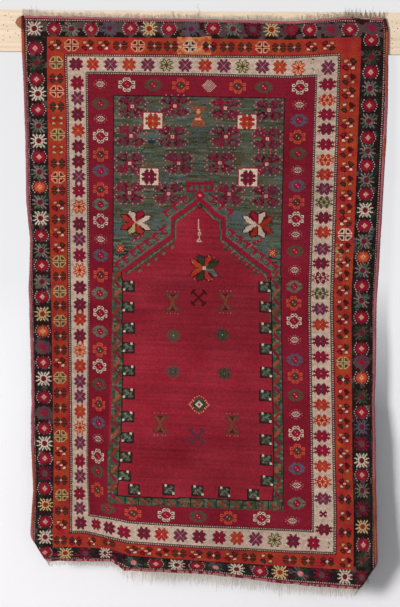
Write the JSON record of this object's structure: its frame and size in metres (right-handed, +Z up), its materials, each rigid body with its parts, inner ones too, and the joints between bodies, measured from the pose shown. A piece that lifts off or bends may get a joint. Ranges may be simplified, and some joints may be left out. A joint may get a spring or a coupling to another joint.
{
  "type": "hanging prayer rug with wall board",
  "caption": "Hand-knotted pile prayer rug with an arched field, overcast sides and fringed ends, hanging flat from a plain wooden wall board.",
  "frame": {"origin": "centre of the board's flat back face, which lies against the wall", "axes": "+Z up, +X to the viewer's right along the board, +Y out of the board's back into the wall; the rug hangs on the -Y side"},
  "size_m": [1.3, 0.0658, 1.8027],
  "materials": {
    "pile_wool": "worn knotted wool pile",
    "selvedge_wool": "overcast wool edge",
    "kilim_wool": "flatwoven end with warp fringe",
    "board_wood": "pale painted softwood, matte, with old nail holes"
  },
  "bodies": {
    "root": {"wall_board": "board_wood", "pile_carpet": "pile_wool", "selvedge_left": "selvedge_wool", "selvedge_right": "selvedge_wool", "fringed_end_top": "kilim_wool", "fringed_end_hem": "kilim_wool"}
  },
  "joints": []
}
